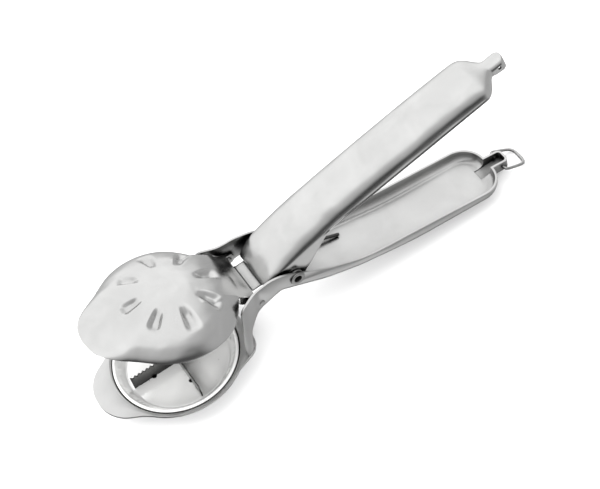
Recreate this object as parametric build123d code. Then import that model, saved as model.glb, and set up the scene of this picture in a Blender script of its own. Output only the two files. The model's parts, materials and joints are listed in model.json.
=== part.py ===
from build123d import *
import math
import os

# Hand citrus press of pressed stainless steel, held open by its spring.
# Frame: +X from the cup towards the handles, +Y across, +Z up, millimetres.
# The origin is the centre of the cup's flat base.

# ---- driving dimensions -------------------------------------------------
SHEET = 1.2             # gauge of the pressed sheet
CLEAR = 0.08            # radial running clearance on the pins

CUP_R = 35.7            # inner radius of the cup at its rim
RIM_R = 37.4            # outer radius of the cup's flat rim
RIM_Z = 16.0            # height of the cup's rim
LEDGE_Z = 8.5           # height of the ledge that the tray stands on
LEDGE_R = 30.0          # outer radius of the ledge
BOWL_R = 26.8           # radius of the lower bowl where it meets the ledge
BASE_R = 21.0           # radius of the flat base
LIP_REACH = 47.5        # how far the pouring lips reach
LIP_HALF_WIDTH = 22.0   # half width of a lip where it leaves the round rim

TRAY_R = 34.3           # outer radius of the tray's rolled rim
TRAY_FLOOR_R = 28.6     # outer radius of the tray's floor
TRAY_GAUGE = 0.8
BLADE_GAUGE = 0.8
BLADE_HEIGHT = 10.0
BLADE_HALF_LENGTH = 26.9
TOOTH_PITCH = 2.4
TOOTH_DEPTH = 1.6

HANDLE_HALF_WIDTH = 18.0
PIVOT_X = 72.0
PIVOT_Z = 42.0
TUBE_R = 3.0
WASHER_R = 4.2

TROUGH_X = 67.0         # front edge of the lower handle's floor
LOWER_END_X = 203.0     # rear wall of the lower handle
LOWER_CORNER_R = 14.0
FLOOR_R = 5.2           # radius between the lower handle's floor and sides
NUB_HALF_WIDTH = 4.6
NUB_LENGTH = 10.5
BAIL_X = 209.0
BAIL_Z = 7.4
BAIL_WIRE_R = 0.8
BAIL_DROP = 27.0        # degrees that the bail hangs below level
BAIL_LENGTH = 15.6

UPPER_HALF_WIDTH = 15.6
UPPER_TILT = 12.7       # degrees that the upper handle rises from level
UPPER_FLANGE = 11.5     # height of its lower edge above the pivot, square to it
UPPER_END_X = 143.5     # rear wall, measured along the handle from the pivot
UPPER_CORNER_R = 19.5
HOOD_X = -16.2          # front edge of the hood, in front of the pivot

DOME_TILT = 15.0        # degrees that the dome is open
DOME_X = 6.0            # centre of the dome's rim plane
DOME_Z = 56.0
DOME_R = 37.0
DOME_CROWN = 17.0
DIMPLES = 8
DIMPLE_CIRCLE_R = 21.0
DIMPLE_R = 9.0
DIMPLE_DEPTH = 1.2
HINGE_X = 49.5          # axis of the dome's two trunnions
HINGE_Z = 41.0
TRUNNION_R = 1.6
LUG_HALF_WIDTH = 16.8   # outside of the dome's two lugs
TONGUE_HALF_WIDTH = 9.3
TONGUE_REACH = 62.5
LIFT_PIN_X = -12.3      # lift pin in the upper handle, relative to the pivot
LIFT_PIN_Z = -2.8
LIFT_PIN_R = 1.5

SPRING_WIRE_R = 0.9
SPRING_COIL_R = 5.0
SPRING_HALF_LENGTH = 7.3
SPRING_TURNS = 6


# ---- helpers ------------------------------------------------------------
def revolved(profile):
    """Turn an outline drawn in X and Z about the Z axis."""
    return revolve(Plane.XZ * profile, Axis.Z)


def across(outline, half_width):
    """Extrude an outline drawn in X and Z to both sides of the middle."""
    return extrude(Plane.XZ * outline, amount=half_width, both=True)


def upright(outline, bottom, top):
    """Extrude a plan outline between two heights."""
    return extrude(Pos(0, 0, bottom) * outline, amount=top - bottom)


def rod(start, end, radius):
    """A round rod between two points."""
    direction = Vector(*end) - Vector(*start)
    plane = Plane(origin=start, z_dir=direction)
    return extrude(plane * Circle(radius), amount=direction.length)


def cross_pin(x, z, radius, half_length):
    """A round pin along Y, centred on the middle plane."""
    return rod((x, -half_length, z), (x, half_length, z), radius)


def both_sides(solid):
    """A solid with its mirror image across the middle plane."""
    return solid + mirror(solid, Plane.XZ)


def rear_rounded(front, end, half_width, corner):
    """Plan outline of a handle: square in front, rounded corners behind."""
    outline = make_face(Polyline(
        (front, -half_width), (end, -half_width), (end, half_width), (front, half_width), close=True))
    rear = outline.vertices().group_by(Axis.X)[-1]
    return fillet(rear, corner)


# ---- lower body: cup, lip, arms and lower handle -------------------------
def cup_shell():
    """Bowl with sloping sides and a ledge half way up for the tray."""
    outside = make_face(Polyline(
        (0, 0), (BASE_R, 0), (BOWL_R + 0.9, LEDGE_Z - SHEET), (LEDGE_R + 0.9, LEDGE_Z - SHEET),
        (RIM_R - 1.0, RIM_Z - SHEET), (RIM_R, RIM_Z - SHEET), (RIM_R, RIM_Z), (0, RIM_Z), close=True))
    inside = make_face(Polyline(
        (0, SHEET), (BASE_R - 0.5, SHEET), (BOWL_R, LEDGE_Z), (LEDGE_R, LEDGE_Z),
        (CUP_R, RIM_Z), (CUP_R, RIM_Z + 1), (0, RIM_Z + 1), close=True))
    return revolved(outside) - revolved(inside)


def lip_outline(radius, inset):
    """Half of a round rim drawn out to a blunt lip towards -X."""
    reach = LIP_REACH - inset
    wide = LIP_HALF_WIDTH - inset
    side = Spline((-0.6 * radius, 0.8 * radius), (16 - reach, wide), (6.8 - reach, wide - 5.8),
                  (1.1 - reach, wide - 14.4), (-reach, 0), tangents=[(-0.8, -0.6), (0, -1)])
    other = mirror(side, Plane.XZ)
    return make_face([side, other, Line(other @ 0, side @ 0)])


def rim_flange():
    """Flat rim around the cup, with the lip in front and shoulders behind."""
    edge = Spline((22, -30.2), (29.5, -27.4), (34.5, -25.2), (38.0, -21.5), (39.4, -12), (39.6, 0),
                  (39.4, 12), (38.0, 21.5), (34.5, 25.2), (29.5, 27.4), (22, 30.2))
    shoulders = make_face([edge, Line(edge @ 1, edge @ 0)])
    outline = Circle(RIM_R) + lip_outline(RIM_R, 0) + shoulders
    return upright(outline - Circle(CUP_R + 0.6), RIM_Z - SHEET, RIM_Z)


def smooth(points, radii):
    """Closed outline of straight lines with the given radius at each corner."""
    outline = make_face(Polyline(*points, close=True))
    for point, radius in zip(points, radii):
        if radius:
            corner = outline.vertices().sort_by_distance((point[0], point[1], 0))[0]
            outline = fillet(corner, radius)
    return outline


def lower_plan(inset):
    """Plan of the arms and the handle: wide at the cup, rounded behind."""
    corners = [(20, 30.2), (35, 24.6), (47, 19.0), (60, HANDLE_HALF_WIDTH),
               (LOWER_END_X, HANDLE_HALF_WIDTH)]
    radii = [0, 12, 18, 60, LOWER_CORNER_R]
    mirrored = [(x, -y) for x, y in reversed(corners)]
    outline = smooth(corners + mirrored, radii + radii[::-1])
    return offset(outline, -inset) if inset else outline


def lower_outer():
    """Outside of the arms and the handle, as one solid."""
    points = [(31, RIM_Z - 0.9), (31, 60), (LOWER_END_X + 5, 60), (LOWER_END_X + 5, 3.3), (141, 9.4),
              (107, 17.0), (88, 23.6), (TROUGH_X, 34.2), (62, 36.8), (45, 33.4), (39.0, 28.0), (36.4, RIM_Z - 0.9)]
    side = smooth(points, [0, 0, 0, 0, 200, 80, 60, 0, 4, 6, 8, 0])
    body = upright(lower_plan(0), -5, 62) & across(side, 40)
    return fillet(floor_edges(body), FLOOR_R)


def lower_inner():
    """Hollow of the handle, open in front of the floor."""
    lift = SHEET * 1.1
    points = [(15, 5), (15, 65), (LOWER_END_X + 5, 65), (LOWER_END_X + 5, 3.3 + lift), (141, 9.4 + lift),
              (107, 17.0 + lift), (88, 23.6 + lift), (TROUGH_X - 1, 34.7 + lift), (TROUGH_X - 1, 5)]
    side = smooth(points, [0, 0, 0, 0, 200, 80, 60, 0, 0])
    body = upright(lower_plan(SHEET), -5, 64) & across(side, 40)
    return fillet(floor_edges(body), FLOOR_R - SHEET)


def floor_edges(body):
    """Edges round the floor of the handle, behind its open front."""
    return body.edges().filter_by(lambda e: (e @ 0.5).X > TROUGH_X + 0.5 and (e @ 0.5).Z < 40
                                  and abs((e @ 0.5).Y) > 1 and abs((e % 0.5).Z) < 0.9
                                  or abs((e @ 0.5).Y) < 0.1 and (e @ 0.5).X > 199 and (e @ 0.5).Z < 15)


def rim_cut():
    """Everything above the edge of the arms and the lower handle."""
    end = LOWER_END_X + 15
    points = [(29, 20), (29.7, 14.8), (36, 51.0), (56, 52.6), (65, 50.6), (91, 33.0), (113, 22.5), (end, 9.1),
              (end, 80), (10, 80), (10, 20)]
    edge = smooth(points, [0, 0, 4, 16, 30, 40, 60, 0, 0, 0, 0])
    return across(edge, 40)


def lower_nub():
    """Small open box at the end of the lower handle that carries the bail."""
    end = LOWER_END_X + NUB_LENGTH
    outer = upright(rear_rounded(LOWER_END_X - 6, end, NUB_HALF_WIDTH, 3.0), 3.9, 20)
    inner = upright(rear_rounded(LOWER_END_X - 8, end - SHEET, NUB_HALF_WIDTH - SHEET, 1.8), 5.1, 21)
    return outer, inner


def lower_body():
    """Cup, lip, arms and lower handle, pressed from one sheet."""
    nub_outer, nub_inner = lower_nub()
    frame = lower_outer() + nub_outer - lower_inner() - nub_inner - rim_cut()
    frame -= cross_pin(PIVOT_X, PIVOT_Z, TUBE_R + 0.02, 30)
    frame -= cross_pin(HINGE_X, HINGE_Z, TRUNNION_R + 0.02, 30)
    frame -= cross_pin(BAIL_X, BAIL_Z, BAIL_WIRE_R + CLEAR, 10)
    return cup_shell() + rim_flange() + frame


# ---- tray and blades -----------------------------------------------------
def juice_tray():
    """Shallow loose tray with a rolled rim, drain holes and blade slots."""
    floor_z = LEDGE_Z + TRAY_GAUGE
    bead_z = RIM_Z - 0.9
    bead_r = TRAY_R - 0.9
    outside = make_face(Polyline(
        (0, LEDGE_Z), (TRAY_FLOOR_R, LEDGE_Z), (bead_r, bead_z), (0, bead_z), close=True))
    outside = fillet(outside.vertices().group_by(Axis.Y)[0].sort_by(Axis.X)[-1:], 2.4)
    inside = make_face(Polyline(
        (0, floor_z), (TRAY_FLOOR_R - 0.4, floor_z), (bead_r - 0.9, bead_z),
        (bead_r - 0.9, RIM_Z), (0, RIM_Z), close=True))
    inside = fillet(inside.vertices().group_by(Axis.Y)[0].sort_by(Axis.X)[-1:], 2.0)
    bead = Pos(bead_r, bead_z) * Circle(0.9)
    tray = revolved(outside) - revolved(inside) + revolved(bead)
    for turn in range(4):
        hole = Pos(14.7, 0, LEDGE_Z) * Cylinder(1.5, 4)
        slot = Pos(21, 0, LEDGE_Z) * Box(4.2, BLADE_GAUGE + 0.1, 4)
        tray -= Rot(0, 0, 90 * turn) * (hole + slot)
    return tray


def blade(toothed, notch_from_top):
    """Upright blade along X with two tabs below and a half-depth notch."""
    bottom = LEDGE_Z + TRAY_GAUGE
    top = bottom + BLADE_HEIGHT
    plate = Pos(0, 0, (bottom + top) / 2) * Box(2 * BLADE_HALF_LENGTH, BLADE_GAUGE, BLADE_HEIGHT)
    for side in (-1, 1):
        plate += Pos(21 * side, 0, bottom - 0.8) * Box(4, BLADE_GAUGE, 1.6)
    if toothed:
        gap = make_face(Polyline((-TOOTH_PITCH / 2, 0.2), (0, -TOOTH_DEPTH), (TOOTH_PITCH / 2, 0.2), close=True))
        teeth = int(2 * BLADE_HALF_LENGTH / TOOTH_PITCH)
        for index in range(teeth):
            x = (index - (teeth - 1) / 2) * TOOTH_PITCH
            plate -= across(Pos(x, top) * gap, BLADE_GAUGE)
    notch_z = top if notch_from_top else bottom
    return plate - Pos(0, 0, notch_z) * Box(BLADE_GAUGE + 0.1, 2, BLADE_HEIGHT + 0.1)


# ---- press dome ----------------------------------------------------------
def dome_bowl(inset):
    """Round dome as a solid, or with an inset the hollow inside it."""
    crown = DOME_CROWN - inset
    edge = DOME_R - inset
    curve = Spline((0, crown), (13, crown - 0.5), (22, crown - 2.8), (29.5 - 0.6 * inset, crown - 7.4),
                   (34.2 - 0.8 * inset, crown - 12.6), (edge, -0.01), tangents=[(1, 0), (0.25, -1)])
    return revolved(make_face([curve, Polyline(curve @ 1, (0, -0.01), (0, crown))]))


def dome_front(inset):
    """Gentle slope from the dome into its pouring lip."""
    slope = Spline((-14, 14.8), (-22, 13.0), (-30, 9.2), (-38, 4.2), (-LIP_REACH, SHEET),
                   tangents=[(-1, -0.15), (-1, -0.15)])
    side = make_face([slope, Polyline(slope @ 1, (-LIP_REACH, -0.01), (-14, -0.01), slope @ 0)])
    beyond = make_face(Polyline(
        (-30, -3), (-30, 0), (-24, 3.5), (-10, 18), (10, 18), (24, 3.5), (30, 0), (30, -3), close=True))
    front = across(side, 40) & extrude(Plane.YZ * beyond, amount=-60)
    return Pos(0, 0, -inset) * front & upright(lip_outline(DOME_R - 1.5 - inset, inset), -0.01, 30)


def dome_rear(inset):
    """Deck that drops from the dome to its two hinge corners."""
    slope = Spline((12, 14.6), (22, 13.0), (31.5, 9.0), (38, 4.2), (43.5, -0.2),
                   tangents=[(1, -0.1), (1, -0.8)])
    side = make_face([slope, Polyline(
        slope @ 1, (43.5, -3.0), (36, -3.0), (33, -0.01), (12, -0.01), slope @ 0)])
    half = LUG_HALF_WIDTH - inset
    plan = make_face(Polyline(
        (12, -28 + inset), (24, -24 + inset), (34, -half), (45, -half),
        (45, half), (34, half), (24, 24 - inset), (12, 28 - inset), close=True))
    behind = make_face(Polyline(
        (-30, -5), (-30, 0.5), (-17, 6.0), (-8, 17), (8, 17), (17, 6.0), (30, 0.5), (30, -5), close=True))
    deck = across(side, 40) & extrude(Plane.YZ * behind, amount=60)
    return Pos(0, 0, -inset) * deck & upright(plan, -8, 30)


def dimple(index, inset):
    """Ball that presses one dimple into the dome from above."""
    lift = DOME_CROWN - 2.4 - DIMPLE_DEPTH + DIMPLE_R
    return Rot(0, 0, 360 * index / DIMPLES) * Pos(DIMPLE_CIRCLE_R, 0, lift) * Sphere(DIMPLE_R + inset)


def dome_shell():
    """The dimpled dome as an open shell of even gauge."""
    outside = dome_bowl(0) + dome_front(0) + dome_rear(0)
    inside = dome_bowl(SHEET) + dome_front(SHEET) + dome_rear(SHEET)
    for index in range(DIMPLES):
        outside -= dimple(index, 0)
        inside -= dimple(index, SHEET)
    return outside - inside


def dome_placed(solid):
    """Move a solid from the dome's own frame to its open place."""
    return Pos(DOME_X, 0, DOME_Z) * Rot(0, DOME_TILT, 0) * solid


def press_dome():
    """Dome with a tongue behind it and two lugs for the trunnions."""
    tongue_side = make_face(Polyline(
        (46.6, 45.2), (49.8, 41.2), (TONGUE_REACH, 41.6), (TONGUE_REACH, 42.8), (50.4, 42.4),
        (47.9, 44.6), close=True))
    tongue = across(tongue_side, TONGUE_HALF_WIDTH)
    lug_side = make_face(Polyline(
        (41.5, 43.8), (47.0, 44.3), (50.0, 44.2), (52.8, 42.5), (52.8, 39.5), (47.5, 38.4), close=True))
    lug_side += Pos(HINGE_X, HINGE_Z) * Circle(3.6)
    lugs = across(lug_side, LUG_HALF_WIDTH) - across(lug_side, LUG_HALF_WIDTH - SHEET)
    lugs -= cross_pin(HINGE_X, HINGE_Z, TRUNNION_R + CLEAR, 20)
    return dome_placed(dome_shell()) + tongue + lugs


def dome_trunnion(side):
    """Short rivet pin through the arm and the dome's lug on one side."""
    pin = rod((HINGE_X, LUG_HALF_WIDTH - SHEET - 1.0, HINGE_Z), (HINGE_X, 19.2, HINGE_Z), TRUNNION_R)
    return pin if side > 0 else mirror(pin, Plane.XZ)


# ---- upper handle --------------------------------------------------------
def arch_section(x, half_width, crown, rise, inset):
    """Cross-section of the upper handle: straight sides under a low arch."""
    w = half_width - inset
    top = crown - inset
    shoulder = top - rise
    points = []
    for index in range(9):
        angle = math.pi * index / 8
        points.append((w * math.cos(angle), shoulder + rise * math.sin(angle)))
    arch = Spline(*points, tangents=[(0, 1), (0, -1)])
    base = Polyline(points[-1], (-w, -14), (w, -14), points[0])
    plane = Plane(origin=(x, 0, 0), x_dir=(0, 1, 0), z_dir=(1, 0, 0))
    return plane * make_face([arch, base])


def upper_crown(x):
    """Height of the upper handle's ridge above the pivot."""
    rise = 23.0 - 16.2 * math.exp(-(x - HOOD_X) / 17.0)
    fall = max(0.0, (x - 90) / 55)
    return rise - 2.2 * fall * fall


def upper_solid(inset):
    """Solid shape of the upper handle, or with an inset its hollow."""
    sections = []
    count = 12
    for index in range(count):
        x = HOOD_X + (UPPER_END_X + 1 - HOOD_X) * index / (count - 1)
        narrow = math.exp(-(x - HOOD_X) / 5.0)
        half_width = UPPER_HALF_WIDTH - 4.0 * narrow
        crown = upper_crown(x)
        rise = 0.5 + 0.45 * crown * (1 - math.exp(-(x - HOOD_X) / 8.0))
        sections.append(arch_section(x, half_width, crown, rise, inset))
    body = loft(sections)
    wide = UPPER_HALF_WIDTH + 4 - inset
    plan = rear_rounded(HOOD_X - 5, UPPER_END_X - inset, wide, UPPER_CORNER_R - inset)
    return body & upright(plan, -30, 40)


def upper_side():
    """Side view that is kept: handle above its flange, ears to the pivot."""
    ear = Polyline((HOOD_X - 1, 2.0), (HOOD_X - 1, -2.0), (-15, -3.0), (-9, -3.4), (0, -5.2), (4.8, -3.6),
                   (28, UPPER_FLANGE),
                   (UPPER_END_X + 20, UPPER_FLANGE), (UPPER_END_X + 20, 40), (HOOD_X - 1, 40), close=True)
    outline = make_face(ear)
    knee = [v for v in outline.vertices() if abs(v.X) < 5 and v.Y < 0]
    return across(fillet(knee, 2.0), 30)


def upper_nub():
    """Small hollow knob at the end of the upper handle."""
    end = UPPER_END_X + 10.5
    plan = rear_rounded(UPPER_END_X - 5, end, NUB_HALF_WIDTH, 3.2)
    hollow = rear_rounded(UPPER_END_X - 9, end - SHEET, NUB_HALF_WIDTH - SHEET, 2.0)
    outer = upright(plan, 8.0, 15.8)
    outer = fillet(outer.faces().sort_by(Axis.Z)[-1].edges(), 2.4)
    inner = upright(hollow, 0, 14.6)
    return outer, fillet(inner.faces().sort_by(Axis.Z)[-1].edges(), 1.4)


def upper_placed(solid):
    """Move a solid from the upper handle's own frame to its open place."""
    return Pos(PIVOT_X, 0, PIVOT_Z) * Rot(0, -UPPER_TILT, 0) * solid


def upper_handle():
    """Arched handle with a hood in front, two ears and a knob behind."""
    nub_outer, nub_inner = upper_nub()
    shell = (upper_solid(0) & upper_side()) + nub_outer - upper_solid(SHEET) - nub_inner
    shell -= Pos(UPPER_END_X + 6, 0, 11.4) * Rot(90, 0, 0) * Cylinder(1.1, 20)
    handle = upper_placed(shell)
    handle -= cross_pin(PIVOT_X, PIVOT_Z, TUBE_R + CLEAR, 20)
    return handle - cross_pin(PIVOT_X + LIFT_PIN_X, PIVOT_Z + LIFT_PIN_Z, LIFT_PIN_R + 0.02, 20)


# ---- pins, washers, spring and bail --------------------------------------
def pivot_tube():
    """Tubular rivet through both arms, its ends flared over them."""
    head_y = HANDLE_HALF_WIDTH
    tube = cross_pin(PIVOT_X, PIVOT_Z, TUBE_R, head_y + 0.8)
    head = rod((PIVOT_X, head_y, PIVOT_Z), (PIVOT_X, head_y + 0.8, PIVOT_Z), TUBE_R + 1.0)
    return tube + both_sides(head) - cross_pin(PIVOT_X, PIVOT_Z, TUBE_R - 0.8, 30)


def pivot_washer(side):
    """Spacer ring between an arm and the upper handle's ear."""
    inside = HANDLE_HALF_WIDTH - SHEET
    ring = rod((PIVOT_X, inside - 1.0, PIVOT_Z), (PIVOT_X, inside, PIVOT_Z), WASHER_R)
    ring -= cross_pin(PIVOT_X, PIVOT_Z, TUBE_R + 0.02, 30)
    return ring if side > 0 else mirror(ring, Plane.XZ)


def lift_pin():
    """Cross pin in the hood that lifts the dome's tongue."""
    return cross_pin(PIVOT_X + LIFT_PIN_X, PIVOT_Z + LIFT_PIN_Z, LIFT_PIN_R, 13.0)


def tangent_angle(x, z, side):
    """Angle on the coil where a straight leg to a point touches it."""
    return math.atan2(z, x) + side * math.acos(SPRING_COIL_R / math.hypot(x, z))


def return_spring():
    """Torsion spring round the pivot, one leg on the floor, one under the crown."""
    tilt = math.radians(UPPER_TILT)
    upper = (32 * math.cos(tilt) - 18.6 * math.sin(tilt), 32 * math.sin(tilt) + 18.6 * math.cos(tilt))
    lower = (37.5, -22.4)
    first = tangent_angle(*upper, 1)
    last = tangent_angle(*lower, -1) + 2 * math.pi
    turns = SPRING_TURNS + (last - first) / (2 * math.pi)
    length = 2 * SPRING_HALF_LENGTH
    frame = Plane(origin=(PIVOT_X, -SPRING_HALF_LENGTH, PIVOT_Z),
                  x_dir=(math.cos(first), 0, math.sin(first)), z_dir=(0, 1, 0))
    path = frame * Helix(length / turns, length, SPRING_COIL_R, lefthand=True)
    spring = sweep(Plane(origin=path @ 0, z_dir=path % 0) * Circle(SPRING_WIRE_R), path, is_frenet=True)
    for angle, tip, y in ((first, upper, -SPRING_HALF_LENGTH), (last, lower, SPRING_HALF_LENGTH)):
        start = (PIVOT_X + SPRING_COIL_R * math.cos(angle), y, PIVOT_Z + SPRING_COIL_R * math.sin(angle))
        end = (PIVOT_X + tip[0], y, PIVOT_Z + tip[1])
        spring += rod(start, end, SPRING_WIRE_R) + Pos(*start) * Sphere(1.15 * SPRING_WIRE_R)
    return spring


def locking_bail():
    """Wire loop hinged in the lower knob, long enough to hook the upper one."""
    eye = 2.6
    corners = [(0, eye), (0, 6.4), (3, 7.4), (8, 6.8), (BAIL_LENGTH, 6.2)]
    route = [(x, y, 0) for x, y in corners]
    route += [(x, -y, 0) for x, y in reversed(corners)]
    path = FilletPolyline(*route, radius=0.9)
    wire = sweep(Plane(origin=path @ 0, z_dir=path % 0) * Circle(BAIL_WIRE_R), path)
    return Pos(BAIL_X, 0, BAIL_Z) * Rot(0, BAIL_DROP, 0) * wire


# ---- the parts -----------------------------------------------------------
def build():
    """Every piece by its name."""
    return {
        "lower_body": lower_body(),
        "juice_tray": juice_tray(),
        "long_blade": blade(True, True),
        "cross_blade": Rot(0, 0, 90) * blade(False, False),
        "press_dome": press_dome(),
        "near_dome_trunnion": dome_trunnion(-1),
        "far_dome_trunnion": dome_trunnion(1),
        "upper_handle": upper_handle(),
        "lift_pin": lift_pin(),
        "pivot_tube": pivot_tube(),
        "near_pivot_washer": pivot_washer(-1),
        "far_pivot_washer": pivot_washer(1),
        "return_spring": return_spring(),
        "locking_bail": locking_bail(),
    }


if __name__ == "__main__":
    os.makedirs("parts", exist_ok=True)
    for name, solid in build().items():
        export_step(solid, "parts/" + name + ".step")
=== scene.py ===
import json
import math
import bmesh
import bpy
from mathutils import Matrix, Vector


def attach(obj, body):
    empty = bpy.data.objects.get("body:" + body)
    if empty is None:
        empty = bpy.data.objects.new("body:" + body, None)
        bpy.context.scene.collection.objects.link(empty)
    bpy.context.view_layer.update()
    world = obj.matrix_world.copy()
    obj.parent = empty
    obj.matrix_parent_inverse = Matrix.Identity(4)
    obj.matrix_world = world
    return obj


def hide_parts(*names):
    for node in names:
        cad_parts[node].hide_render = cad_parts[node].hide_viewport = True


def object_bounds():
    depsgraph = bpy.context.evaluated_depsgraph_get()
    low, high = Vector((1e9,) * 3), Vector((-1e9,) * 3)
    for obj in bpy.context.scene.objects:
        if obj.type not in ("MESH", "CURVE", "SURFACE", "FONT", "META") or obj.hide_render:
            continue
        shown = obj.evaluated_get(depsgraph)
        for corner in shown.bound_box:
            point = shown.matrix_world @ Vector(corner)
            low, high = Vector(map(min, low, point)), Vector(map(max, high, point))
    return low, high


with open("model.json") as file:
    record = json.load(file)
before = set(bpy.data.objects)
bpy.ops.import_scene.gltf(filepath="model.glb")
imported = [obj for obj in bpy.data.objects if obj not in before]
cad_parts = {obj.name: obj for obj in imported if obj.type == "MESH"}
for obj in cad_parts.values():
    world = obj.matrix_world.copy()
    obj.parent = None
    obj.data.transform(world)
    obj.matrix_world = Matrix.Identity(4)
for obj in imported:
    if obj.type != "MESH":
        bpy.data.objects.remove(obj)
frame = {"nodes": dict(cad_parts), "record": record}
cad_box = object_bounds()

# Lengths below are in millimetres, as on a drawing of the juicer, and MM turns them into metres.
MM = 0.001
SHEET = 1.2
PIVOT = Vector((72, 0, 42))
UPPER_TILT = math.radians(12.7)
HOOD_X = -16.2
UPPER_END = 143.5
NUB_END = 154.0
FLANGE_Z = 11.5
UPPER_WIDE = 15.6
NUB_WIDE = 4.6
DOME_CENTRE = Vector((6, 0, 56))
DOME_TILT = math.radians(15)
DOME_RADIUS = 37.0
LIP_REACH = 47.5
DECK_X = 43.5
DECK_WIDE = 16.8
TONGUE_WIDE = 9.3
DIMPLES = 8
DIMPLE_CIRCLE = 21.3
DIMPLE_SHIFT = 1.5
SPRING_COIL = 5.0
SPRING_WIRE = 0.9
SPRING_HALF = 7.3
SPRING_TURNS = 6


# ---- curves and placing ---------------------------------------------------
def ease(t):
    """Smooth step from 0 at t = 0 to 1 at t = 1."""
    t = min(1.0, max(0.0, t))
    return t * t * (3 - 2 * t)


def through(points, at):
    """Height at one place on a smooth curve through points, in rising order of the first number."""
    xs = [p[0] for p in points]
    ys = [p[1] for p in points]
    if at <= xs[0]:
        return ys[0]
    if at >= xs[-1]:
        return ys[-1]
    steps = [(ys[i + 1] - ys[i]) / (xs[i + 1] - xs[i]) for i in range(len(xs) - 1)]
    slopes = [steps[0]] + [0.0] * (len(xs) - 2) + [steps[-1]]
    for i in range(1, len(xs) - 1):
        if steps[i - 1] * steps[i] > 0:
            slopes[i] = 2 * steps[i - 1] * steps[i] / (steps[i - 1] + steps[i])
    i = max(k for k in range(len(xs) - 1) if xs[k] <= at)
    wide = xs[i + 1] - xs[i]
    t = (at - xs[i]) / wide
    return ((2 * t**3 - 3 * t**2 + 1) * ys[i] + (t**3 - 2 * t**2 + t) * wide * slopes[i]
            + (3 * t**2 - 2 * t**3) * ys[i + 1] + (t**3 - t**2) * wide * slopes[i + 1])


def placed(origin, tilt):
    """Matrix from a tilted part's own millimetres to metres in the frame: its X axis points up by tilt."""
    turn = Matrix.Rotation(-tilt, 4, "Y")
    return Matrix.Scale(MM, 4) @ Matrix.Translation(origin) @ turn


def mesh_object(name, points, faces, matrix):
    """Smooth-shaded mesh object from points in a part's own millimetres."""
    mesh = bpy.data.meshes.new(name)
    mesh.from_pydata([matrix @ Vector(p) for p in points], [], faces)
    mesh.validate()
    body = bmesh.new()
    body.from_mesh(mesh)
    bmesh.ops.recalc_face_normals(body, faces=body.faces)
    for face in body.faces:
        face.smooth = True
    body.to_mesh(mesh)
    body.free()
    piece = bpy.data.objects.new(name, mesh)
    bpy.context.scene.collection.objects.link(piece)
    return piece


def add_bevel(piece, width, angle=40, segments=2):
    """Rounds a piece's edges that turn by more than angle."""
    bevel = piece.modifiers.new("edges", "BEVEL")
    bevel.width = width * MM
    bevel.segments = segments
    bevel.limit_method = "ANGLE"
    bevel.angle_limit = math.radians(angle)
    bevel.use_clamp_overlap = True
    bevel.harden_normals = False


def add_sheet(piece, thickness, offset=-1.0):
    """Gives a surface the thickness of the sheet it is pressed from."""
    solid = piece.modifiers.new("sheet", "SOLIDIFY")
    solid.thickness = thickness * MM
    solid.offset = offset
    solid.use_even_offset = True
    solid.thickness_clamp = 0.0


def apply_modifiers(piece):
    """Turns a piece's modifiers into plain mesh."""
    graph = bpy.context.evaluated_depsgraph_get()
    mesh = bpy.data.meshes.new_from_object(piece.evaluated_get(graph))
    piece.modifiers.clear()
    piece.data = mesh


def sharpen(piece, angle):
    """Smooth shading, broken at edges that turn by more than angle."""
    piece.data.shade_smooth()
    piece.data.set_sharp_from_angle(angle=math.radians(angle))


def outward(piece, inside):
    """Turns a shell's faces so that they look away from a point inside it, in metres."""
    mesh = piece.data
    score = sum((f.center - inside).dot(f.normal) * f.area for f in mesh.polygons)
    if score < 0:
        mesh.flip_normals()


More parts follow.
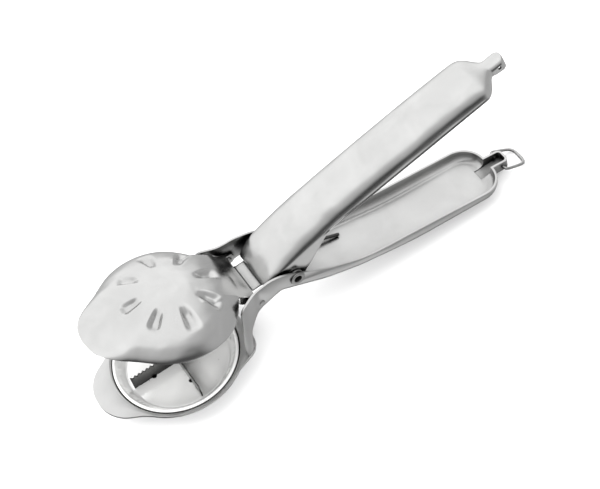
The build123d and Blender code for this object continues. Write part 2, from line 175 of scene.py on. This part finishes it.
# ---- materials -------------------------------------------------------------
class Nodes:
    """Short ways to add and join shader nodes in one material."""

    def __init__(self, name):
        self.material = bpy.data.materials.new(name)
        self.material.use_nodes = True
        self.tree = self.material.node_tree
        self.shader = self.tree.nodes["Principled BSDF"]
        self.coordinates = self.tree.nodes.new("ShaderNodeTexCoord").outputs["Object"]

    def noise(self, scale, detail=3.0, stretch=(1, 1, 1), roughness=0.5, distortion=0.0):
        """Noise in object space, drawn out along an axis by stretch."""
        mapping = self.tree.nodes.new("ShaderNodeMapping")
        mapping.inputs["Scale"].default_value = stretch
        self.tree.links.new(self.coordinates, mapping.inputs["Vector"])
        noise = self.tree.nodes.new("ShaderNodeTexNoise")
        noise.inputs["Scale"].default_value = scale
        noise.inputs["Detail"].default_value = detail
        noise.inputs["Roughness"].default_value = roughness
        noise.inputs["Distortion"].default_value = distortion
        self.tree.links.new(mapping.outputs["Vector"], noise.inputs["Vector"])
        return noise.outputs["Fac"]

    def ramp(self, value, low, high, first, last):
        """Maps low..high of a value to first..last."""
        ranged = self.tree.nodes.new("ShaderNodeMapRange")
        ranged.inputs["From Min"].default_value = low
        ranged.inputs["From Max"].default_value = high
        ranged.inputs["To Min"].default_value = first
        ranged.inputs["To Max"].default_value = last
        self.tree.links.new(value, ranged.inputs["Value"])
        return ranged.outputs["Result"]

    def math(self, kind, a, b):
        """One sum of two values."""
        node = self.tree.nodes.new("ShaderNodeMath")
        node.operation = kind
        for socket, value in zip(node.inputs, (a, b)):
            if isinstance(value, (int, float)):
                socket.default_value = value
            else:
                self.tree.links.new(value, socket)
        return node.outputs["Value"]

    def colours(self, value, dark, light):
        """Mixes two greys by a value."""
        mix = self.tree.nodes.new("ShaderNodeMix")
        mix.data_type = "RGBA"
        mix.inputs["A"].default_value = (*dark, 1)
        mix.inputs["B"].default_value = (*light, 1)
        self.tree.links.new(value, mix.inputs["Factor"])
        return mix.outputs["Result"]

    def painted_hollow_shade(self, colour, dark, reach):
        """Paints shade into a colour in hollows and between near walls, where light doesn't reach."""
        shade = self.tree.nodes.new("ShaderNodeAmbientOcclusion")
        shade.samples = 12
        shade.inputs["Distance"].default_value = reach * MM
        mix = self.tree.nodes.new("ShaderNodeMix")
        mix.data_type = "RGBA"
        mix.blend_type = "MULTIPLY"
        mix.inputs["Factor"].default_value = 1.0
        self.tree.links.new(colour, mix.inputs["A"])
        grey = self.colours(self.ramp(shade.outputs["AO"], 0.32, 0.82, 0.0, 1.0), (dark,) * 3, (1, 1, 1))
        self.tree.links.new(grey, mix.inputs["B"])
        return mix.outputs["Result"]

    def bump(self, height, distance, strength=1.0, under=None):
        """Bump from a height, over another bump if there is one."""
        node = self.tree.nodes.new("ShaderNodeBump")
        node.inputs["Distance"].default_value = distance
        node.inputs["Strength"].default_value = strength
        self.tree.links.new(height, node.inputs["Height"])
        if under is not None:
            self.tree.links.new(under, node.inputs["Normal"])
        return node.outputs["Normal"]

    def set(self, socket, value):
        """Sets or links one input of the shader."""
        if isinstance(value, (int, float, tuple)):
            self.shader.inputs[socket].default_value = value
        else:
            self.tree.links.new(value, self.shader.inputs[socket])


def steel(name, dark, light, rough, waves, grain, hollow=0.1, reach=26):
    """Stainless steel: faint cloudy tone, fine grain, uneven polish and the soft waves of pressed sheet,
    with shade painted into its colour in hollows.
    """
    n = Nodes(name)
    clouds = n.noise(38, 4, distortion=0.6)
    specks = n.noise(900, 2)
    tone = n.math("ADD", n.math("MULTIPLY", clouds, 0.9), n.math("MULTIPLY", specks, 0.1))
    unshaded_tone = n.colours(n.ramp(tone, 0.35, 0.65, 0.0, 1.0), dark, light)
    # Painted shade: ambient occlusion darkens the base colour in hollows and between near walls.
    n.set("Base Color", n.painted_hollow_shade(unshaded_tone, hollow, reach))
    n.set("Metallic", 1.0)
    smears = n.noise(60, 5, stretch=(1, 3, 2), distortion=1.2)
    fine = n.noise(1400, 3, stretch=(1, 4, 4))
    mixed = n.math("ADD", n.math("MULTIPLY", smears, 0.65), n.math("MULTIPLY", fine, 0.35))
    n.set("Roughness", n.ramp(mixed, 0.3, 0.7, rough[0], rough[1]))
    under = n.bump(n.noise(34, 2, stretch=(0.8, 1.2, 1)), waves * MM)
    n.set("Normal", n.bump(n.noise(1600, 3, stretch=(1, 5, 5)), grain * MM, 0.6, under))
    return n.material


def mirror_steel(name):
    """Polished steel of the tray and blades: near mirror, with water spots and hairline scratches."""
    n = Nodes(name)
    spots = n.noise(420, 1)
    spot = n.ramp(spots, 0.74, 0.78, 0.0, 1.0)
    n.set("Base Color", n.colours(spot, (0.9, 0.9, 0.89), (0.36, 0.36, 0.35)))
    n.set("Metallic", 0.35)
    scratches = n.noise(260, 5, stretch=(1, 14, 1))
    scratched = n.ramp(scratches, 0.35, 0.7, 0.05, 0.13)
    n.set("Roughness", n.math("ADD", scratched, n.math("MULTIPLY", spot, 0.2)))
    under = n.bump(n.noise(45, 1), 0.25 * MM)
    n.set("Normal", n.bump(scratches, 0.01 * MM, 0.5, under))
    return n.material


# The seventh and eighth values set the painted hollow shade, its darkest level and its reach in
# millimetres; left out, they are 0.1 and 26.
SATIN = steel("satin_steel", (0.6, 0.6, 0.595), (0.68, 0.68, 0.675), (0.19, 0.28), 1.7, 0.004, 0.06, 11)
FRAME_SATIN = steel("frame_steel", (0.6, 0.6, 0.595), (0.67, 0.67, 0.665), (0.27, 0.36), 0.5, 0.005, 0.07)
RIVET = steel("rivet_steel", (0.36, 0.36, 0.355), (0.5, 0.5, 0.495), (0.24, 0.38), 0.1, 0.02, 0.4)
WIRE = steel("bright_wire", (0.4, 0.4, 0.395), (0.55, 0.55, 0.545), (0.2, 0.32), 0.1, 0.02)
DARK_WIRE = steel("dark_wire", (0.07, 0.07, 0.07), (0.16, 0.16, 0.158), (0.28, 0.45), 0.1, 0.03)
# Painted shade: the polished blades are drawn in near-black steel, as dark as they look in the shade under
# the dome.
SHADED_BLADE = steel("blade_steel_painted_shade", (0.15, 0.15, 0.148), (0.26, 0.26, 0.256), (0.18, 0.3), 0.1, 0.01)
POLISHED = mirror_steel("polished_steel_visual")


def finish_piece(piece, material, slot, body, *nodes):
    """Material, body and the CAD nodes that a piece stands for. The record slot is not used."""
    piece.data.materials.clear()
    piece.data.materials.append(material)
    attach(piece, body)
    if nodes:
        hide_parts(*nodes)


# ---- pressing dome ---------------------------------------------------------
BOWL = [(0, 17.5), (11, 16.9), (20, 14.9), (27, 11.7), (32, 7.9), (35, 4.3), (36.4, 2.0), (37, 0.3)]
FRONT = [(0, 17.5), (14, 15.8), (22, 13.6), (30, 10.2), (36, 6.8), (41, 4.0), (45, 2.3), (47.5, 1.2)]
REAR = [(0, 17.5), (12, 16.4), (22, 13.8), (31.5, 9.4), (38, 4.6), (43.5, -0.2)]
LIP_EDGE = [(126.9, 37), (133, 37.25), (139, 37.8), (145, 39.1), (151, 41.1), (157.5, 43.5), (164, 45.6),
            (171, 47.0), (180, 47.5)]


def dome_edge(angle):
    """Distance of the dome's edge from its centre, by angle from the hinge side in degrees."""
    turned = abs(angle)
    corner = math.degrees(math.atan2(DECK_WIDE, DECK_X))
    root = math.degrees(math.asin(DECK_WIDE / DOME_RADIUS))
    if turned <= corner:
        return DECK_X / math.cos(math.radians(turned))
    if turned <= root:
        return DECK_WIDE / math.sin(math.radians(turned))
    return through(LIP_EDGE, turned)


def dome_height(angle, share):
    """Height of the dome's surface at a share of the way out to its edge."""
    turned = abs(angle)
    edge = dome_edge(angle)
    if turned > 90:
        bowl = through(BOWL, DOME_RADIUS * share)
        front = through(FRONT, LIP_REACH * share)
        to_front = ease((edge - DOME_RADIUS - 0.8) / (LIP_REACH - DOME_RADIUS - 0.8))
        return bowl + (front - bowl) * to_front
    x = edge * share * math.cos(math.radians(turned))
    y = edge * share * math.sin(math.radians(turned))
    bowl = through(BOWL, min(DOME_RADIUS, edge * share))
    aside = max(0.0, y - 9.0)
    deck = through(REAR, x) - 0.022 * aside * aside - 2.2 * max(0.0, y - DECK_WIDE) - 4 * (1 - ease(x / 14))
    soften = 2.4 * ease((x - 10) / 16)
    higher = 0.5 * (bowl + deck + math.sqrt((bowl - deck) ** 2 + soften**2))
    return higher - 0.3 * soften * ease((43.5 - x) / 8)


def dimple_depth(x, y):
    """Depth of the eight short radial dents that press against the peel."""
    depth = 0.0
    for index in range(DIMPLES):
        angle = 2 * math.pi * index / DIMPLES
        along = (x - DIMPLE_SHIFT) * math.cos(angle) + y * math.sin(angle) - DIMPLE_CIRCLE
        aside = -(x - DIMPLE_SHIFT) * math.sin(angle) + y * math.cos(angle)
        if abs(along) < 8 and abs(aside) < 7:
            half = 2.3 + 0.16 * (along + 6)
            ends = 1 - ease((abs(along) - 1.8) / 5.6)
            sides = 1 - ease((abs(aside) - 0.25 * half) / (0.95 * half))
            depth = max(depth, 2.6 * ends * sides)
    return depth


def dome_angles():
    """Angles of the dome's rays, closer together where its outline turns."""
    tongue = math.degrees(math.atan2(TONGUE_WIDE, DECK_X))
    corner = math.degrees(math.atan2(DECK_WIDE, DECK_X))
    root = math.degrees(math.asin(DECK_WIDE / DOME_RADIUS))
    stops = [(0, tongue, 10), (tongue, corner, 8), (corner, root, 8), (root, 127, 70), (127, 180, 46)]
    half = []
    for start, end, count in stops:
        half += [start + (end - start) * i / count for i in range(count)]
    half.append(180.0)
    return [-a for a in reversed(half[1:-1])] + half


def dome_shell():
    """Pressed dome with its lip, deck and tongue as one sheet."""
    angles = dome_angles()
    rings = 74
    points = [(0, 0, dome_height(0, 0))]
    for ring in range(1, rings + 1):
        share = ring / rings
        share = share + 0.10 * math.sin(math.pi * share) * share
        for angle in angles:
            reach = dome_edge(angle) * share
            x = reach * math.cos(math.radians(angle))
            y = reach * math.sin(math.radians(angle))
            points.append((x, y, dome_height(angle, share) - dimple_depth(x, y)))
    count = len(angles)
    faces = [(0, 1 + i, 1 + (i + 1) % count) for i in range(count)]
    for ring in range(rings - 1):
        here = 1 + ring * count
        for i in range(count):
            j = (i + 1) % count
            faces.append((here + i, here + count + i, here + count + j, here + j))
    last = 1 + (rings - 1) * count
    tongue = math.degrees(math.atan2(TONGUE_WIDE, DECK_X)) + 0.01
    row = [last + i for i, angle in enumerate(angles) if abs(angle) < tongue]
    route = [(44.0, -0.7), (44.6, -1.5), (45.3, -2.0), (46.4, -2.0), (49, -1.1), (53, 0.1), (57.6, 1.4)]
    for x, z in route:
        start = len(points)
        points += [(x, points[k][1], z) for k in row]
        new = list(range(start, start + len(row)))
        faces += [(row[k], new[k], new[k + 1], row[k + 1]) for k in range(len(row) - 1)]
        row = new
    shell = mesh_object("press_dome_shell", points, faces, placed(DOME_CENTRE, -DOME_TILT))
    inside = MM * (DOME_CENTRE - Vector((0, 0, 20)))
    outward(shell, inside)
    add_sheet(shell, SHEET)
    add_bevel(shell, 0.3, 55)
    apply_modifiers(shell)
    sharpen(shell, 60)
    return shell


def plate(name, outline, near, far, matrix, bevel=0.25):
    """Flat plate with an outline in its own X and Z, between two places across."""
    count = len(outline)
    points = [(x, near, z) for x, z in outline] + [(x, far, z) for x, z in outline]
    faces = [tuple(range(count)), tuple(range(2 * count - 1, count - 1, -1))]
    faces += [(i, (i + 1) % count, count + (i + 1) % count, count + i) for i in range(count)]
    piece = mesh_object(name, points, faces, matrix)
    add_bevel(piece, bevel, 50)
    apply_modifiers(piece)
    sharpen(piece, 35)
    return piece


def dome_lug(side):
    """Side wall of the dome's deck, with a round ear on the hinge."""
    ear = (45.86, -3.22)
    radius = 3.6
    turn = [math.radians(a) for a in range(62, -131, -12)]
    outline = [(33.6, 0.6), (34.2, 4.2), (36.5, 4.6), (38.5, 3.6), (41, 1.9), (43.4, -0.3)]
    outline = [(x, z - 0.25) for x, z in outline]
    outline += [(ear[0] + radius * math.cos(a), ear[1] + radius * math.sin(a)) for a in turn]
    outline += [(40.5, -4.6), (37, -1.6)]
    name = "dome_lug_near" if side < 0 else "dome_lug_far"
    inner, outer = side * (DECK_WIDE - SHEET), side * DECK_WIDE
    return plate(name, outline, inner, outer, placed(DOME_CENTRE, -DOME_TILT))


dome = dome_shell()
finish_piece(dome, SATIN, "pressed_steel", "dome", "press_dome")
for side in (-1, 1):
    finish_piece(dome_lug(side), SATIN, "pressed_steel", "dome")


# ---- upper handle ----------------------------------------------------------
SHOULDER_X = 131.0      # where the handle starts to narrow
NECK_X = 144.6          # where it has narrowed to the nub
RIDGE_Z = 23.0          # height of the ridge along the grip
HOOD_DROP = 16.2        # how far the ridge falls to the hood's front edge
NUB_RIDGE_Z = 15.8      # height of the nub's top
NUB_RISE = 3.4          # height of the nub's arch above its side walls
EAR_EDGE = [(HOOD_X, -1.6), (-15, -3.0), (-9, -3.4), (-3, -5.0), (0, -5.3), (3, -4.9),
            (5.4, -3.2), (12, 0.9), (20, 6.4), (26, 10.2), (31, FLANGE_Z), (137, FLANGE_Z),
            (143, 10.4), (147, 8.6), (NUB_END, 8.0)]


def upper_half_width(x):
    """Half width of the upper handle, from hood to knob."""
    if x < SHOULDER_X:
        return UPPER_WIDE - 4.0 * math.exp(-(x - HOOD_X) / 5.0)
    t = (x - SHOULDER_X) / (NECK_X - SHOULDER_X)
    shoulder = NUB_WIDE + (UPPER_WIDE - NUB_WIDE) * (1 - ease(min(1, t) ** 1.7))
    past = max(0.0, (x - NUB_END + 3.2) / 3.2)
    return shoulder - (NUB_WIDE - 1.6) * (1 - math.sqrt(max(0.0, 1 - min(1.0, past) ** 2)))


def upper_ridge(x):
    """Height of the upper handle's ridge."""
    rise = RIDGE_Z - HOOD_DROP * math.exp(-(x - HOOD_X) / 17.0)
    fall = max(0.0, (x - 90) / 55)
    ridge = rise - 2.2 * fall * fall
    return ridge + (NUB_RIDGE_Z - ridge) * ease((x - 130) / 17)


def upper_rise(x):
    """Height of the arch above the straight side walls."""
    ridge = upper_ridge(x)
    arched = 0.38 + 0.1 * math.exp(-max(0.0, x) / 60.0)
    rise = 0.5 + arched * ridge * (1 - math.exp(-(x - HOOD_X) / 8.0))
    return rise + (NUB_RISE - rise) * ease((x - 132) / 15)


def upper_section(x, across_count=22, wall_count=5):
    """Points of one cross-section, from the near bottom edge over the ridge to the far bottom edge."""
    wide = upper_half_width(x)
    ridge = upper_ridge(x)
    rise = upper_rise(x)
    shoulder = ridge - rise
    bottom = through(EAR_EDGE, x)
    power = 0.95 + 0.22 * math.exp(-max(0.0, x - 10) / 60)
    band = 0.45 * ease((x - 22) / 12) * (1 - ease((x - 138) / 6))
    half = []
    for k in range(wall_count):
        t = k / wall_count
        z = bottom + (shoulder - bottom) * t
        half.append((wide, z))
    for k in range(across_count + 1):
        a = 0.5 * math.pi * k / across_count
        out = wide * math.cos(a) ** power if k < across_count else 0.0
        half.append((out, shoulder + rise * math.sin(a)))
    step = half
    if band > 0:
        step = []
        for y, z in half:
            if z < shoulder:
                step.append((wide - band * (1 - ease((FLANGE_Z + 1.0 - z) / 0.9)), z))
            else:
                step.append((y - band * (y / wide) ** 6, z))
    near = [(-y, z) for y, z in step]
    far = [(y, z) for y, z in reversed(step[:-1])]
    return near + far


def upper_stations():
    """Places along the handle, closer together at the hood, ears, shoulders and knob."""
    spans = [(HOOD_X, -8, 12), (-8, 32, 34), (32, 122, 40), (122, 150.8, 44), (150.8, NUB_END, 12)]
    places = []
    for start, end, count in spans:
        places += [start + (end - start) * i / count for i in range(count)]
    return places + [NUB_END]


def upper_shell():
    """Arched sheet of the upper handle with its hood, ears and knob."""
    points = []
    faces = []
    stations = upper_stations()
    for x in stations:
        points += [(x, y, z) for y, z in upper_section(x)]
    width = len(points) // len(stations)
    for i in range(len(stations) - 1):
        here = i * width
        ahead = here + width
        faces += [(here + k, here + k + 1, ahead + k + 1, ahead + k) for k in range(width - 1)]
    last = (len(stations) - 1) * width
    faces.append(tuple(range(last, last + width)))
    shell = mesh_object("upper_handle_shell", points, faces, placed(PIVOT, UPPER_TILT))
    outward(shell, placed(PIVOT, UPPER_TILT) @ Vector((60, 0, 0)))
    add_sheet(shell, SHEET)
    add_bevel(shell, 0.25, 55)
    apply_modifiers(shell)
    sharpen(shell, 50)
    return shell


def cut_hole(piece, x, z, radius, matrix, half_length=30):
    """Cuts a round hole across a piece, by boolean."""
    sides = 32
    ring = [(x + radius * math.cos(2 * math.pi * k / sides), z + radius * math.sin(2 * math.pi * k / sides))
            for k in range(sides)]
    cutter = plate("cutter", ring, -half_length, half_length, matrix, bevel=0.001)
    cut = piece.modifiers.new("hole", "BOOLEAN")
    cut.operation = "DIFFERENCE"
    cut.solver = "EXACT"
    cut.object = cutter
    apply_modifiers(piece)
    bpy.data.objects.remove(cutter)


upper = upper_shell()
UPPER_PLACE = placed(PIVOT, UPPER_TILT)
cut_hole(upper, 0, 0, 3.08, UPPER_PLACE)
cut_hole(upper, UPPER_END + 6, 11.6, 1.1, UPPER_PLACE)
sharpen(upper, 50)
finish_piece(upper, SATIN, "pressed_steel", "upper", "upper_handle")


# ---- return spring ---------------------------------------------------------
def tangent_angle(x, z, side):
    """Angle at which a straight leg to a point leaves the coil."""
    return math.atan2(z, x) + side * math.acos(SPRING_COIL / math.hypot(x, z))


def wire(name, points, radius):
    """Round wire along points in metres, as a mesh."""
    curve = bpy.data.curves.new(name, "CURVE")
    curve.dimensions = "3D"
    curve.bevel_depth = radius * MM
    curve.bevel_resolution = 4
    curve.use_fill_caps = True
    spline = curve.splines.new("POLY")
    spline.points.add(len(points) - 1)
    for point, place in zip(spline.points, points):
        point.co = (*(place * MM), 1)
    helper = bpy.data.objects.new(name, curve)
    bpy.context.scene.collection.objects.link(helper)
    mesh = bpy.data.meshes.new_from_object(helper)
    bpy.data.objects.remove(helper)
    piece = bpy.data.objects.new(name, mesh)
    bpy.context.scene.collection.objects.link(piece)
    sharpen(piece, 50)
    return piece


def spring_legs():
    """Ends of the spring's two legs, from the pivot."""
    x, z = 32, 18.6
    upper_leg = (x * math.cos(UPPER_TILT) - z * math.sin(UPPER_TILT),
                 x * math.sin(UPPER_TILT) + z * math.cos(UPPER_TILT))
    return upper_leg, (37.5, -22.9)


def spring_pieces():
    """Coil with its lower leg, and the upper leg."""
    upper_leg, lower_leg = spring_legs()
    first = tangent_angle(*upper_leg, 1)
    last = tangent_angle(*lower_leg, -1) + 2 * math.pi
    turning = 2 * math.pi * SPRING_TURNS + (last - first)
    steps = 220
    coil = []
    for k in range(steps + 1):
        a = first + turning * k / steps
        y = -SPRING_HALF + 2 * SPRING_HALF * k / steps
        coil.append(PIVOT + Vector((SPRING_COIL * math.cos(a), y, SPRING_COIL * math.sin(a))))
    start = coil[0]
    tip = PIVOT + Vector((upper_leg[0], -SPRING_HALF, upper_leg[1]))
    end = PIVOT + Vector((lower_leg[0], SPRING_HALF, lower_leg[1]))
    legs = [start + (tip - start) * k / 6 for k in range(7)]
    low = [coil[-1] + (end - coil[-1]) * k / 6 for k in range(1, 7)]
    return wire("return_spring_coil", coil + low, SPRING_WIRE), wire("return_spring_leg", legs, SPRING_WIRE)


coil_piece, leg_piece = spring_pieces()
finish_piece(coil_piece, DARK_WIRE, "spring_steel", "lower", "return_spring")
finish_piece(leg_piece, DARK_WIRE, "spring_steel", "upper")


# ---- locking bail -----------------------------------------------------------
def rounded_route(points, steps=8):
    """Smooth route through points, as short straight runs."""
    route = []
    for i in range(len(points) - 1):
        before = points[max(0, i - 1)]
        here, there = points[i], points[i + 1]
        after = points[min(len(points) - 1, i + 2)]
        for k in range(steps):
            t = k / steps
            route.append(0.5 * (2 * here + (there - before) * t
                                + (2 * before - 5 * here + 4 * there - after) * t**2
                                + (3 * here - before - 3 * there + after) * t**3))
    return route + [points[-1]]


def bail_piece():
    """Wire loop: two short eyes turned in, and a loop that rounds off at its end."""
    half = [(0, 2.6), (0, 5.6), (0.9, 7.0), (3.2, 7.35), (8, 7.0),
            (12.6, 6.4), (14.8, 5.0), (15.6, 2.4), (15.6, 0)]
    flat = half + [(x, -y) for x, y in reversed(half[:-1])]
    centre = Vector((209, 0, 7.4))
    drop = math.radians(27)
    points = [centre + Vector((x * math.cos(drop), y, -x * math.sin(drop))) for x, y in flat]
    return wire("locking_bail_wire", rounded_route(points), 0.8)


finish_piece(bail_piece(), WIRE, "spring_steel", "bail", "locking_bail")


# ---- pieces refined from the CAD model -------------------------------------
def refined(node, body, material, slot, bevel, weld=0.002, flat=0.6, smooth_angle=32):
    """CAD node with welded vertices, rounded sheet edges and smooth shading."""
    source = frame["nodes"][node]
    piece = bpy.data.objects.new(node + "_finished", source.data.copy())
    bpy.context.scene.collection.objects.link(piece)
    mesh = bmesh.new()
    mesh.from_mesh(piece.data)
    bmesh.ops.remove_doubles(mesh, verts=mesh.verts, dist=weld * MM)
    bmesh.ops.dissolve_limit(mesh, angle_limit=math.radians(flat), verts=mesh.verts, edges=mesh.edges)
    mesh.to_mesh(piece.data)
    mesh.free()
    if piece.data.has_custom_normals:
        piece.data.attributes.remove(piece.data.attributes["custom_normal"])
    if bevel:
        add_bevel(piece, bevel, 38)
        apply_modifiers(piece)
    sharpen(piece, smooth_angle)
    finish_piece(piece, material, slot, body, node)
    return piece


REFINED = [("lower_body", FRAME_SATIN, "pressed_steel", 0.22),
           ("juice_tray", POLISHED, "polished_steel", 0.0),
           ("long_blade", SHADED_BLADE, "polished_steel", 0.12),
           ("cross_blade", SHADED_BLADE, "polished_steel", 0.12),
           ("pivot_tube", RIVET, "rivet_steel", 0.15),
           ("near_pivot_washer", RIVET, "rivet_steel", 0.2),
           ("far_pivot_washer", RIVET, "rivet_steel", 0.2),
           ("near_dome_trunnion", RIVET, "rivet_steel", 0.2),
           ("far_dome_trunnion", RIVET, "rivet_steel", 0.2),
           ("lift_pin", RIVET, "rivet_steel", 0.2)]

body_of_node = {n: b for b, ns in frame["record"]["behaviour"]["bodies"].items() for n in ns}
for node, material, slot, bevel in REFINED:
    refined(node, body_of_node[node], material, slot, bevel)


# ---- floor, light and camera -------------------------------------------------
def plain_floor():
    """Large pale floor that the steel doesn't mirror, so that its tones come from the studio."""
    size = 6.0
    mesh = bpy.data.meshes.new("floor")
    corners = [(-size, -size), (size, -size), (size, size), (-size, size)]
    low = cad_box[0][2] - 0.0002
    mesh.from_pydata([(x, y, low) for x, y in corners], [], [(0, 1, 2, 3)])
    floor = bpy.data.objects.new("floor", mesh)
    bpy.context.scene.collection.objects.link(floor)
    n = Nodes("pale_floor")
    n.set("Base Color", n.colours(n.noise(3, 2), (0.9, 0.9, 0.9), (0.93, 0.93, 0.93)))
    n.set("Roughness", 0.9)
    n.set("Specular IOR Level", 0.1)
    mesh.materials.append(n.material)
    floor.visible_glossy = False


def studio_world():
    """White sweep behind and above, a dim room in front and below."""
    world = bpy.data.worlds.new("studio")
    world.use_nodes = True
    tree = world.node_tree
    back = tree.nodes["Background"]
    coordinates = tree.nodes.new("ShaderNodeTexCoord")
    facing = tree.nodes.new("ShaderNodeVectorMath")
    facing.operation = "DOT_PRODUCT"
    facing.inputs[1].default_value = (0, 0.5, 0.866)
    tree.links.new(coordinates.outputs["Generated"], facing.inputs[0])
    ranged = tree.nodes.new("ShaderNodeMapRange")
    ranged.inputs["From Min"].default_value = -1.0
    tree.links.new(facing.outputs["Value"], ranged.inputs["Value"])
    ramp = tree.nodes.new("ShaderNodeValToRGB")
    stops = [(0.0, 0.8), (0.025, 0.72), (0.065, 0.16), (0.2, 0.06),
             (0.29, 0.08), (0.35, 0.24), (0.425, 0.5),
             (0.525, 0.6), (0.61, 0.7), (0.665, 0.84), (0.725, 1.2), (0.9, 1.26), (1.0, 1.2)]
    while len(ramp.color_ramp.elements) < len(stops):
        ramp.color_ramp.elements.new(0.5)
    for element, (place, level) in zip(ramp.color_ramp.elements, stops):
        element.position = place
        element.color = (level, level, level, 1)
    tree.links.new(ranged.outputs["Result"], ramp.inputs["Fac"])
    sides = tree.nodes.new("ShaderNodeSeparateXYZ")
    tree.links.new(coordinates.outputs["Generated"], sides.inputs["Vector"])
    dimmer = tree.nodes.new("ShaderNodeMapRange")
    dimmer.interpolation_type = "SMOOTHSTEP"
    dimmer.inputs["From Min"].default_value = 0.45
    dimmer.inputs["To Min"].default_value = 1.0
    dimmer.inputs["To Max"].default_value = 0.5
    tree.links.new(sides.outputs["X"], dimmer.inputs["Value"])
    level = tree.nodes.new("ShaderNodeVectorMath")
    level.operation = "SCALE"
    tree.links.new(ramp.outputs["Color"], level.inputs[0])
    tree.links.new(dimmer.outputs["Result"], level.inputs["Scale"])
    glow = tree.nodes.new("ShaderNodeMapRange")
    glow.interpolation_type = "SMOOTHSTEP"
    glow.inputs["From Min"].default_value = 0.1
    glow.inputs["From Max"].default_value = 0.6
    glow.inputs["To Max"].default_value = 0.55
    tree.links.new(sides.outputs["X"], glow.inputs["Value"])
    brighter = tree.nodes.new("ShaderNodeVectorMath")
    brighter.operation = "MAXIMUM"
    tree.links.new(level.outputs["Vector"], brighter.inputs[0])
    tree.links.new(glow.outputs["Result"], brighter.inputs[1])
    tree.links.new(brighter.outputs["Vector"], back.inputs["Color"])
    back.inputs["Strength"].default_value = 1.0
    bpy.context.scene.world = world


def soft_box(name, place, target, size, power):
    """Square soft light aimed at a point."""
    light = bpy.data.lights.new(name, "AREA")
    light.shape = "SQUARE"
    light.size = size
    light.energy = power
    lamp = bpy.data.objects.new(name, light)
    lamp.location = place
    lamp.rotation_euler = (Vector(target) - Vector(place)).to_track_quat("-Z", "Y").to_euler()
    lamp.visible_glossy = False
    bpy.context.scene.collection.objects.link(lamp)


def camera(target, distance, azimuth, elevation, roll, lens):
    """Camera that looks at a point from a direction, rolled about its own axis."""
    a, e, r = (math.radians(v) for v in (azimuth, elevation, roll))
    back = Vector((-math.sin(a) * math.cos(e), -math.cos(a) * math.cos(e), math.sin(e)))
    level = Vector((0, 0, 1)).cross(back).normalized()
    right = level * math.cos(r) + back.cross(level) * math.sin(r)
    up = back.cross(right)
    data = bpy.data.cameras.new("camera")
    data.lens = lens
    data.clip_start = 0.05
    view = bpy.data.objects.new("camera", data)
    turn = Matrix((right, up, back)).transposed().to_4x4()
    view.matrix_world = Matrix.Translation(Vector(target) + back * distance) @ turn
    bpy.context.scene.collection.objects.link(view)
    bpy.context.scene.camera = view


plain_floor()
studio_world()
soft_box("key", (-0.3, 0.3, 1.2), (0.08, 0, 0.03), 1.3, 15)
soft_box("fill", (-0.35, -0.9, 0.45), (0, 0, 0.02), 0.6, 15)
camera(target=(0.0854, 0.0026, 0.0369), distance=0.9, azimuth=17.82, elevation=53.81,
       roll=-17.58, lens=102.29)
scene = bpy.context.scene
scene.view_settings.view_transform = "Standard"
scene.view_settings.look = "None"
